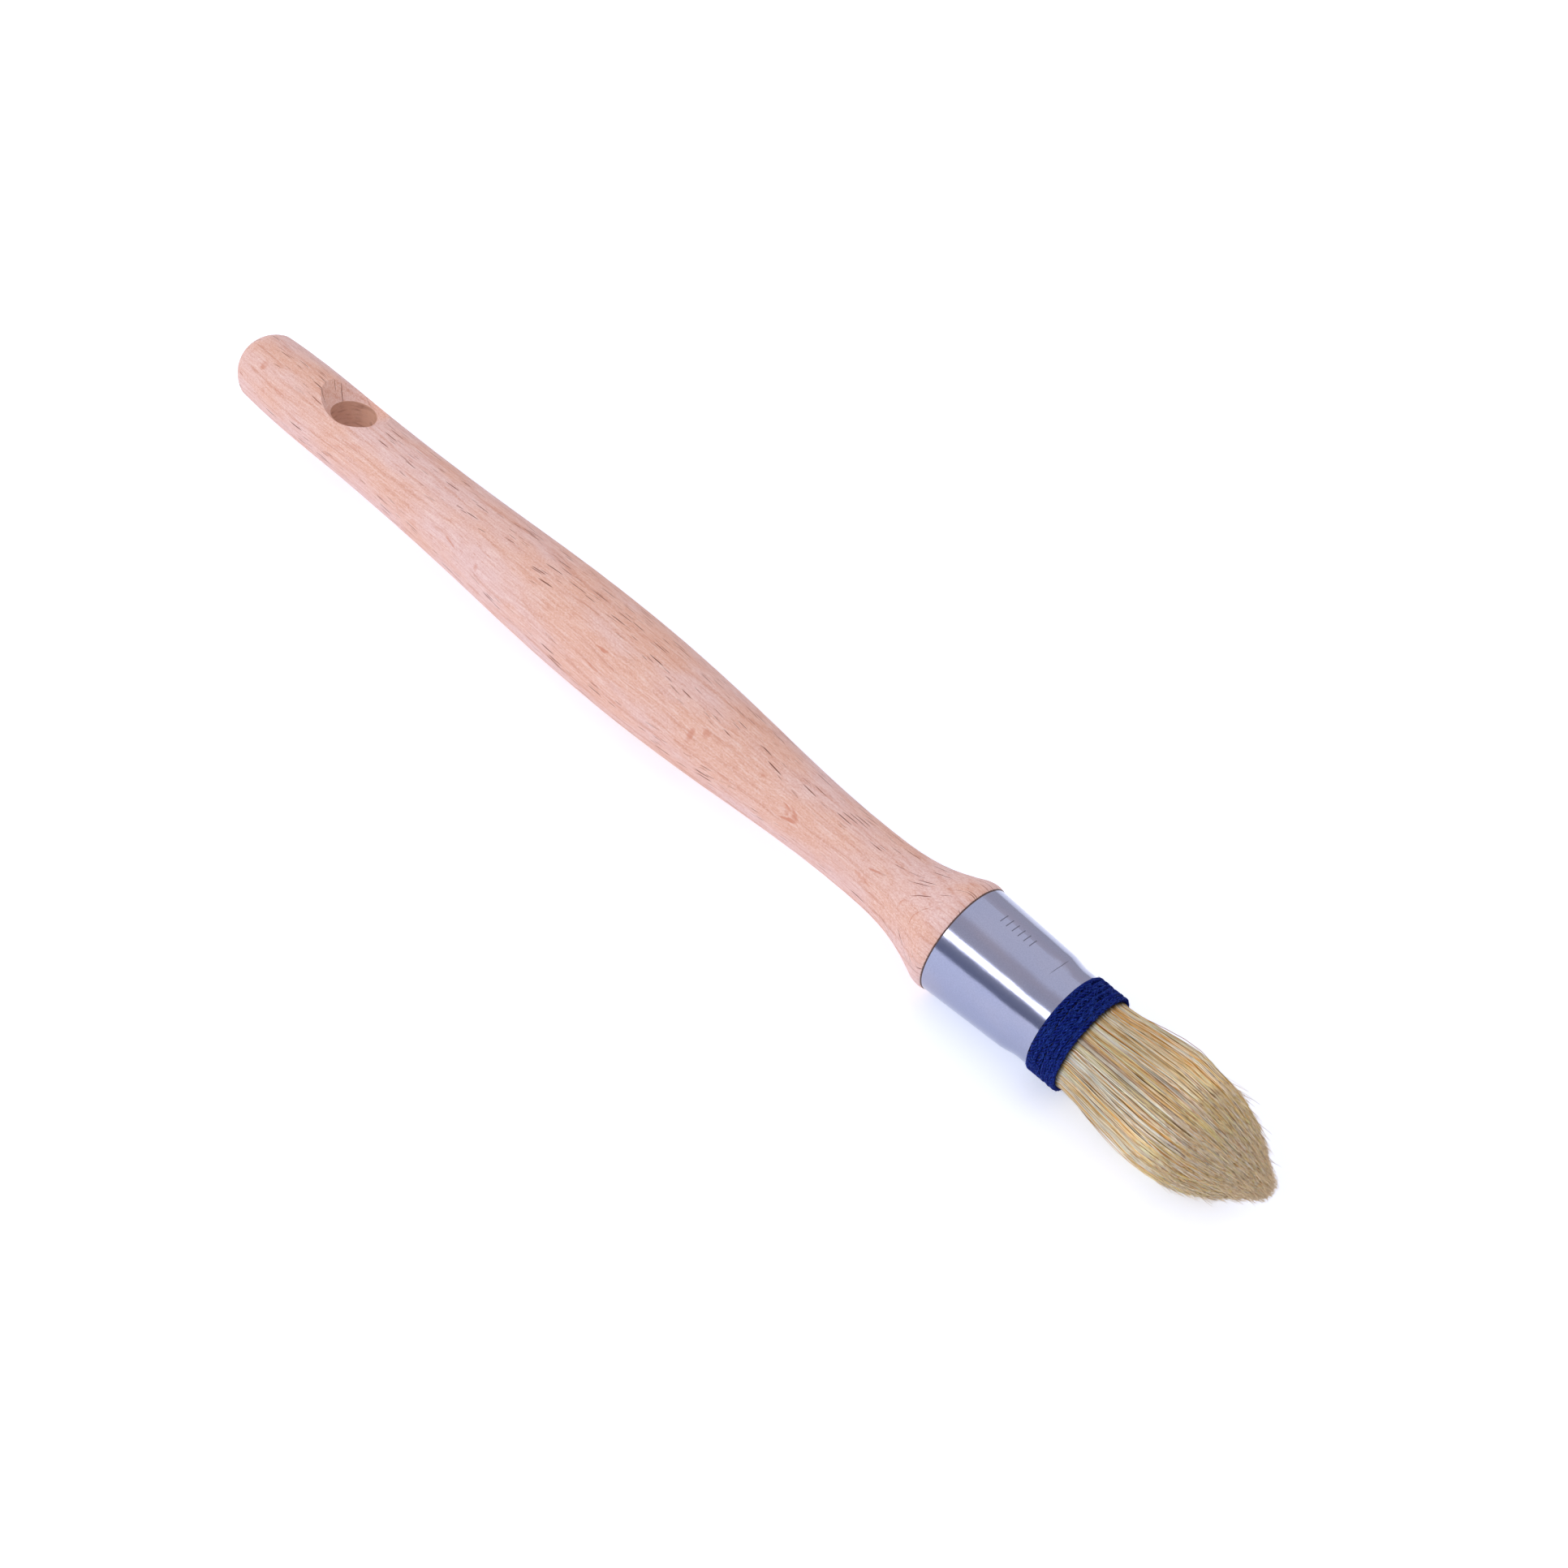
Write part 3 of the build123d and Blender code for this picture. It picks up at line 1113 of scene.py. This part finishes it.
@dataclass
class Tuft:
    """The bristle: thousands of hairs that leave the whipping in a round bundle.

    They spring outwards to the widest place, run on nearly straight, and end on a blunt bullet
    shape whose upper side is cut back a little further. Hairs gather in locks, each lock and
    each hair has its own shade, and the tips are flagged: split into finer, paler ends.
    """

    axis_height: float
    hairs: int = 15500
    locks: int = 620
    thickness: float = 0.155 * MM
    root_inside: float = 6.0 * MM
    root_knots: tuple[float, float] = (0.0, 0.7 * MM)
    lock_pull: float = 0.34
    lean: float = 0.014
    stray_share: float = 0.02
    stray_lean: float = 0.13
    loose_share: float = 0.07
    waist: float = 0.065
    closing: float = 0.85
    trimmed: float = 0.02
    cut_back: float = 0.065
    nose_back: float = 1.5 * MM
    cut_back_turn: float = math.radians(45.0)
    tip_scatter: float = 1.5 * MM
    deep_cut_share: float = 0.25
    deep_cut: float = 5.0 * MM
    waist_ends: float = 12.5 * MM
    waist_fades: float = 6.5 * MM
    slack: float = 0.012
    cut_begins: float = 4.0 * MM
    cut_fades: float = 5.0 * MM
    core_share: float = 0.12
    fork: float = 0.15
    fork_from: tuple[float, float] = (1.0 * MM, 3.5 * MM)
    fork_past: tuple[float, float] = (-0.1 * MM, 1.5 * MM)
    flag_rings: int = 2
    rim: float = 0.995
    seat_scatter: float = 0.006
    lock_scatter: float = 0.014
    curl_size: float = 0.009
    loose_spread: float = 0.035
    lock_lights: tuple[float, float] = (0.92, 1.10)
    hair_lights: tuple[float, float] = (0.76, 1.18)
    palest: float = 0.96
    pale_girth: float = 1.35
    hair_thinning: float = 0.55
    flag_thinning: float = 0.6
    # How deep under the tuft's surface the painted shadow in the gaps builds up.
    gap_shadow_depth: float = 0.60 * MM
    flags: int = 5000
    flag_thickness: float = 0.08 * MM
    pale_share: float = 0.06
    # Brightness along a hair: partly the real paler tips, partly painted light on the front of the
    # tuft.
    root_light: float = 0.84
    tip_light: float = 0.62
    tip_from: float = 0.6
    tip_share: float = 0.25
    brightest: float = 0.97
    # How strongly the painted shadow in the gaps darkens a hair.
    gap_shadow_strength: float = 0.65
    seed: int = 42
    shades: tuple[Colour, ...] = (
        tint(254, 244, 222),
        tint(252, 228, 184),
        tint(247, 209, 148),
        tint(236, 182, 108),
        tint(196, 132, 66),
        tint(232, 216, 194),
    )
    shade_odds: tuple[float, ...] = (0.20, 0.22, 0.27, 0.17, 0.08, 0.06)
    # The colour of the painted shadow in the gaps.
    gap_shadow_colour: Colour = tint(140, 80, 30)
    tip_shade: Colour = tint(255, 220, 158)
    flag_shade: Colour = tint(255, 230, 190)

    def build(self) -> list[bpy.types.Object]:
        """Grows the tuft.

        Returns:
            Its pieces.
        """
        _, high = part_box("bristle_tuft")
        _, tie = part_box("twine_whipping")
        self.outline = Outline.of("bristle_tuft", self.axis_height)
        self.tie_x = tie.x
        self.tip_x = high.x
        ahead = self.outline.stations > self.tie_x
        stations, radii = self.outline.stations[ahead], self.outline.radii[ahead]
        self.wide_x = float(stations[np.argmax(radii)])
        self.wide_radius = float(radii.max())
        self._scatter()
        front_x = (self.tie_x + self.tip_x) / 2.0
        material = HogBristle(Vector((0.0, 0.0, self.axis_height)), front_x).material()
        pieces = [self._grown(f"bristle_{layer.name.lower()}_hairs", layer) for layer in Layer]
        pieces.append(self._flagged("bristle_flag_tips"))
        return [finished(piece, material, "bristle_tuft") for piece in pieces]

    def _scatter(self) -> None:
        """Chooses every hair's seat, lock, shade, lean and length, all from the seed."""
        rng = np.random.default_rng(self.seed)
        count = self.hairs
        seat = sunflower(count) + rng.normal(0.0, self.seat_scatter, (count, 2))
        size = np.linalg.norm(seat, axis=1)
        seat *= np.where(size > self.rim, self.rim / size, 1.0)[:, None]
        lock = sunflower(self.locks) + rng.normal(0.0, self.lock_scatter, (self.locks, 2))
        nearest = np.empty(count, int)
        for some in np.array_split(np.arange(count), 16):
            gap = np.linalg.norm(seat[some, None, :] - lock[None, :, :], axis=2)
            nearest[some] = gap.argmin(axis=1)
        self.seat = seat
        self.pull = (lock[nearest] - seat) * rng.uniform(0.2, 1.0, count)[:, None]
        lock_lean = rng.normal(0.0, self.lean, (self.locks, 2))
        self.drift = lock_lean[nearest] + rng.normal(0.0, self.lean * 0.9, (count, 2))
        self.curl = rng.normal(0.0, self.curl_size, (count, 2))
        stray = rng.random(count) < self.stray_share
        self.drift[stray] += rng.normal(0.0, self.stray_lean, (stray.sum(), 2))
        self.loose = rng.random(count) < self.loose_share
        self.drift[self.loose] += seat[self.loose] * self.loose_spread
        lock_shade = rng.choice(len(self.shades), self.locks, p=self.shade_odds)
        hair_shade = rng.choice(len(self.shades), count, p=self.shade_odds)
        shade = np.where(rng.random(count) < 0.50, lock_shade[nearest], hair_shade)
        lock_light = rng.uniform(*self.lock_lights, self.locks)
        light = lock_light[nearest] * rng.uniform(*self.hair_lights, count)
        self.shade = np.minimum(np.array(self.shades)[shade] * light[:, None], self.palest)
        self.girth = self.thickness * rng.uniform(0.7, 1.25, count)
        # A few thick pale hairs lie over the others and catch the light.
        pale = rng.random(count) < self.pale_share
        self.shade[pale] = self.shades[0]
        self.girth[pale] *= self.pale_girth
        self.cut = rng.exponential(self.tip_scatter, count) - rng.uniform(0.0, 0.4 * MM, count)
        deep = rng.random(count) < self.deep_cut_share
        self.cut[deep] += rng.exponential(self.deep_cut, deep.sum())

    def _waisted(self, x: np.ndarray) -> np.ndarray:
        """Draws the dense hairs in behind the widest place.

        Args:
            x: The stations.

        Returns:
            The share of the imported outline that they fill.
        """
        out = np.clip((x - self.tie_x) / (1.5 * MM), 0.0, 1.0)
        back = np.clip((x - self.tie_x - self.waist_ends) / self.waist_fades, 0.0, 1.0)
        return 1.0 - self.waist * out * (1.0 - eased(back)) - self.slack * out

    def _spread(self, x: np.ndarray) -> np.ndarray:
        """Finds how far out the outermost dense hairs run.

        Args:
            x: The stations.

        Returns:
            Their radius.
        """
        gathered = self.outline.radius(np.minimum(x, self.wide_x)) * self._waisted(x)
        fallen = self.wide_radius - self.outline.radius(np.maximum(x, self.wide_x))
        return gathered - fallen * self.closing

    def _trim(self, x: np.ndarray, middle: np.ndarray) -> np.ndarray:
        """Trims the front, most on the side that is cut back.

        Args:
            x: The stations.
            middle: The places across the brush there.

        Returns:
            The share of its radius that the tuft keeps.
        """
        turn = np.arctan2(middle[..., 1], middle[..., 0]) - self.cut_back_turn
        begun = eased(np.clip((x - self.wide_x + self.cut_begins) / self.cut_fades, 0.0, 1.0))
        return 1.0 - begun * (self.trimmed + self.cut_back * (0.5 + 0.5 * np.cos(turn)))

    def _cut_shape(self, x: np.ndarray, middle: np.ndarray) -> np.ndarray:
        """The radius of the cut shape at a station."""
        nosed = np.clip((x - self.wide_x) / (self.tip_x - self.wide_x), 0.0, 1.0) ** 2.0
        return self.outline.radius(x + self.nose_back * nosed) * self._trim(x, middle)

    def _paths(self, chosen: np.ndarray, along: np.ndarray) -> np.ndarray:
        """Where hairs run.

        Args:
            chosen: Which hairs.
            along: The stations asked for, one row for each hair.

        Returns:
            The two places across the brush at each station.
        """
        gone = np.clip((along - self.tie_x) / (self.tip_x - self.tie_x), 0.0, 1.0)
        middle = self.seat[chosen][:, None, :]
        middle = middle + self.pull[chosen][:, None, :] * (gone**0.8 * self.lock_pull)[:, :, None]
        trim = self._trim(along, middle)
        middle = middle * (self._spread(along) * trim)[:, :, None]
        travelled = np.clip(along - self.tie_x, 0.0, None) * gone**0.5
        middle = middle + self.drift[chosen][:, None, :] * travelled[:, :, None]
        bow = np.sin(gone * math.pi) * (self.tip_x - self.tie_x)
        middle = middle + self.curl[chosen][:, None, :] * bow[:, :, None]
        span = np.maximum(np.linalg.norm(middle, axis=2), 1e-9)
        loose = self.loose[chosen][:, None]
        limit = np.where(loose, self.outline.radius(along), self._spread(along) + 0.05 * MM)
        limit = np.maximum(limit * trim, self.core_share * self.wide_radius)
        return middle * np.minimum(1.0, limit / span)[:, :, None]

    def _ends(self, chosen: np.ndarray) -> np.ndarray:
        """Cuts the hairs where they meet the tuft's cut shape, or a little short of it.

        Args:
            chosen: Which hairs.

        Returns:
            The station of each one's tip.
        """
        x = np.linspace(self.tie_x + 12.0 * MM, self.tip_x, 120)
        middle = self._paths(chosen, np.broadcast_to(x, (len(chosen), len(x))))
        reach = np.linalg.norm(middle, axis=2)
        outside = reach > self._cut_shape(x[None, :], middle) + 0.05 * MM
        outside[:, x < self.wide_x - 3.0 * MM] = False
        first = np.where(outside.any(axis=1), outside.argmax(axis=1), len(x) - 1)
        end = x[first] - self.cut[chosen]
        return np.clip(end, self.tie_x + 10.0 * MM, self.tip_x - 0.4 * MM)

    def _grown(self, name: str, layer: Layer) -> bpy.types.Object:
        """Grows one layer of hairs.

        Args:
            name: The piece's name.
            layer: Which hairs it holds.

        Returns:
            One mesh with all the hairs.
        """
        low, high, rings = layer.value
        model = HairMaster(rings).mesh()
        share = model[0]
        size = np.linalg.norm(self.seat, axis=1)
        chosen = np.flatnonzero((size >= low) & (size < high))
        along = self._stations(share, rings, self._ends(chosen))
        middle = self._paths(chosen, along)
        colour = self._colours(chosen, share, along, middle)
        strands = Strands(along, middle, self.girth[chosen], colour)
        return strands.mesh(name, model, self.axis_height, self.hair_thinning, self.seed + 1)

    def _stations(self, share: np.ndarray, rings: int, end: np.ndarray) -> np.ndarray:
        """Spreads the master's rings along each hair, the first two at the edge of the twine.

        Args:
            share: Each master vertex's share along the strand.
            rings: How many rings the master has between its ends.
            end: Where each hair ends.

        Returns:
            The stations, one row for each hair.
        """
        step = 1.0 / (rings + 1.0)
        first, second = (self.tie_x + knot for knot in self.root_knots)
        seats = [self.tie_x - self.root_inside, first, second]
        root = np.interp(share, [0.0, step, 2.0 * step], seats)
        free = np.clip((share - 2.0 * step) / (1.0 - 2.0 * step), 0.0, 1.0)
        return root[None, :] + (end - second)[:, None] * free[None, :]

    def _flagged(self, name: str) -> bpy.types.Object:
        """Adds the fine split ends that fork from the tips of hairs all over the cut.

        Args:
            name: The piece's name.

        Returns:
            One mesh with all the split ends.
        """
        rng = np.random.default_rng(self.seed + 2)
        model = HairMaster(self.flag_rings).mesh()
        share = model[0]
        ready = np.flatnonzero(self.cut < self.tip_scatter)
        chosen = rng.choice(ready, self.flags)
        end = self._ends(chosen)
        start = end - rng.uniform(*self.fork_from, self.flags)
        stop = np.minimum(end + rng.uniform(*self.fork_past, self.flags), self.tip_x - 0.03 * MM)
        along = start[:, None] + (stop - start)[:, None] * share[None, :]
        middle = self._paths(chosen, along)
        fork = rng.normal(0.0, self.fork, (self.flags, 2))
        middle = middle + fork[:, None, :] * (along - start[:, None])[:, :, None]
        span = np.maximum(np.linalg.norm(middle, axis=2), 1e-9)
        middle = middle * np.minimum(1.0, (self.wide_radius + 0.02 * MM) / span)[:, :, None]
        own = np.array(self.flag_shade) * rng.uniform(0.60, 1.0, self.flags)[:, None]
        colour = own[:, None, :] * np.ones((1, len(share), 1))
        girth = self.flag_thickness * rng.uniform(0.7, 1.3, self.flags)
        strands = Strands(along, middle, girth, colour)
        return strands.mesh(name, model, self.axis_height, self.flag_thinning, self.seed + 3)

    def _colours(
        self, chosen: np.ndarray, share: np.ndarray, along: np.ndarray, middle: np.ndarray
    ) -> np.ndarray:
        """Colours every hair: painted shadow makes it browner deep in the gaps, it grows paler and
        brighter towards the tip, and painted shade darkens it under the twine.

        Args:
            chosen: Which hairs.
            share: Each vertex's share along its hair.
            along: Each vertex's station, one row for each hair.
            middle: Each vertex's place across the brush.

        Returns:
            A colour for each vertex.
        """
        own = self.shade[chosen][:, None, :] * np.ones((1, len(share), 1))
        # Painted shadow: the deeper a vertex lies under the tuft's surface, the browner it is, less
        # so towards the tip.
        surface = np.minimum(self._cut_shape(along, middle), self._spread(along))
        depth = np.clip(surface - np.linalg.norm(middle, axis=2), 0.0, None)
        painted_gap_shadow = (1.0 - np.exp(-((depth / self.gap_shadow_depth) ** 1.5) * 0.5))[..., None]
        tip = np.clip((share - self.tip_from) / (1.0 - self.tip_from), 0.0, 1.0)[None, :, None]
        painted_gap_shadow = painted_gap_shadow * (1.0 - 0.7 * tip) * self.gap_shadow_strength
        own = own * (1.0 - painted_gap_shadow) + np.array(self.gap_shadow_colour) * painted_gap_shadow
        # Brighter towards the tip: partly the real paler tips, partly painted light that lifts the
        # front of the tuft.
        own = np.minimum(own * (self.root_light + self.tip_light * tip), self.brightest)
        own = own + (np.array(self.tip_shade) - own) * self.tip_share * tip
        # Painted shade: the hairs darken where they run in under the twine.
        hidden = np.clip((self.tie_x + 0.3 * MM - along) / (0.3 * MM), 0.0, 1.0)[..., None]
        return own * (1.0 - 0.9 * hidden)


# Studio


@dataclass(frozen=True)
class SoftBox:
    """One soft lamp, placed by its direction from the ferrule."""

    name: str
    direction: tuple[float, float, float]
    distance: float
    long_side: float
    short_side: float
    watts: float


@dataclass
class Studio:
    """The pale floor, the soft light and the camera."""

    axis_height: float
    aim_along: float = 18.90 * MM
    aim_offset: tuple[float, float] = (0.68 * MM, 0.83 * MM)
    camera_back: tuple[float, float, float] = (0.3987, -0.6552, 0.6416)
    camera_up: tuple[float, float, float] = (-0.5827, 0.3592, 0.7290)
    camera_distance: float = 0.4514
    lens_mm: float = 58.7
    sensor_mm: float = 36.0
    floor_side: float = 6.0
    lamps: tuple[SoftBox, ...] = (
        SoftBox("key_softbox", (-0.3987, -0.756, 0.519), 1.3, 1.9, 0.29, 8.5),
    )
    ferrule_x: float = 0.0
    sky_slope: tuple[float, float, float] = (0.0, 0.28, 0.80)
    sky_shift: float = 0.18
    sky: tuple[tuple[float, Colour], ...] = (
        (0.0, (0.27, 0.29, 0.40)),
        (0.17, (0.32, 0.34, 0.44)),
        (0.42, (0.56, 0.55, 0.60)),
        (0.66, (0.70, 0.67, 0.72)),
        (0.84, (0.76, 0.70, 0.73)),
        (0.94, (1.00, 0.99, 1.06)),
    )
    backdrop: Colour = (0.95, 0.95, 0.97)

    def build(self) -> None:
        """Sets up the floor, the lamps, the surroundings and the camera."""
        self._floor()
        for lamp in self.lamps:
            self._lamp(lamp)
        self._surroundings()
        self._camera()
        bpy.context.scene.view_settings.view_transform = "Standard"
        log.info("studio: floor, %d lamps, camera", len(self.lamps))

    def _floor(self) -> None:
        """Lays the paper just under the brush."""
        deselect_all()
        bpy.ops.mesh.primitive_plane_add(size=self.floor_side, location=(0.0, 0.0, -0.05 * MM))
        floor = bpy.context.object
        floor.name = "studio_floor"
        floor.data.materials.append(StudioPaper().material())

    def _lamp(self, lamp: SoftBox) -> None:
        """Hangs one soft lamp, facing the ferrule, with its long side along the brush.

        Args:
            lamp: The lamp.
        """
        light = bpy.data.lights.new(lamp.name, "AREA")
        light.shape = "RECTANGLE"
        light.size = lamp.long_side
        light.size_y = lamp.short_side
        light.energy = lamp.watts
        rig = bpy.data.objects.new(lamp.name, light)
        back = Vector(lamp.direction).normalized()
        long_way = Vector((1.0, 0.0, 0.0))
        long_way = (long_way - back * long_way.dot(back)).normalized()
        short_way = back.cross(long_way)
        turn = Matrix((long_way, short_way, back)).transposed()
        target = Vector((self.ferrule_x, 0.0, self.axis_height))
        rig.matrix_world = Matrix.Translation(target + back * lamp.distance) @ turn.to_4x4()
        bpy.context.scene.collection.objects.link(rig)

    def _surroundings(self) -> None:
        """Surrounds the set with a pale ceiling that falls off towards the horizon."""
        world = bpy.data.worlds.new("soft_studio")
        bpy.context.scene.world = world
        sheet = Sheet(world)
        seat = sheet.add("ShaderNodeTexCoord").outputs["Generated"]
        slope = {0: seat, 1: self.sky_slope}
        rise = sheet.add("ShaderNodeVectorMath", {"operation": "DOT_PRODUCT"}, slope)
        height = Reading(sheet, rise.outputs["Value"]) + self.sky_shift
        ramp = sheet.add("ShaderNodeValToRGB", None, {"Fac": height})
        ramp.color_ramp.interpolation = "EASE"
        while len(ramp.color_ramp.elements) < len(self.sky):
            ramp.color_ramp.elements.new(0.5)
        for element, (at, colour) in zip(ramp.color_ramp.elements, self.sky):
            element.position = at
            element.color = (*colour, 1.0)
        seen = sheet.add("ShaderNodeLightPath").outputs["Is Camera Ray"]
        pick = sheet.mixed(seen, ramp.outputs["Color"], self.backdrop)
        glow = sheet.add("ShaderNodeBackground", None, {"Color": pick, "Strength": 1.0})
        sheet.add("ShaderNodeOutputWorld", None, {"Surface": glow.outputs[0]})

    def _camera(self) -> None:
        """Stands the camera off the brush, looking down along it from the bristle's side."""
        data = bpy.data.cameras.new("camera")
        data.lens = self.lens_mm
        data.sensor_width = self.sensor_mm
        data.clip_start = 0.01
        back = Vector(self.camera_back).normalized()
        up = Vector(self.camera_up)
        up = (up - back * up.dot(back)).normalized()
        right = up.cross(back)
        target = Vector((self.aim_along, 0.0, self.axis_height))
        spot = target + back * self.camera_distance
        spot += right * self.aim_offset[0] + up * self.aim_offset[1]
        camera = bpy.data.objects.new("camera", data)
        turn = Matrix((right, up, back)).transposed()
        camera.matrix_world = Matrix.Translation(spot) @ turn.to_4x4()
        bpy.context.scene.collection.objects.link(camera)
        bpy.context.scene.camera = camera


def main() -> None:
    """Builds the brush and its studio, piece by piece."""
    logging.basicConfig(level=logging.INFO, format="%(name)s: %(message)s")
    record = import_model()["record"]
    hole = next(m for m in record["mounts"] if m["name"] == "hang_hole")
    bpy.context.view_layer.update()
    low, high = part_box("ferrule")
    axis_height = (low.z + high.z) / 2.0
    HandleAndFerrule(
        axis_height,
        hole_x=hole["pos_m"][0],
        hole_radius=hole["dims"]["r_mm"] * MM,
    ).dress()
    Whipping(axis_height).build()
    Tuft(axis_height).build()
    Studio(axis_height, ferrule_x=(low.x + high.x) / 2.0).build()


if __name__ == "__main__":
    main()
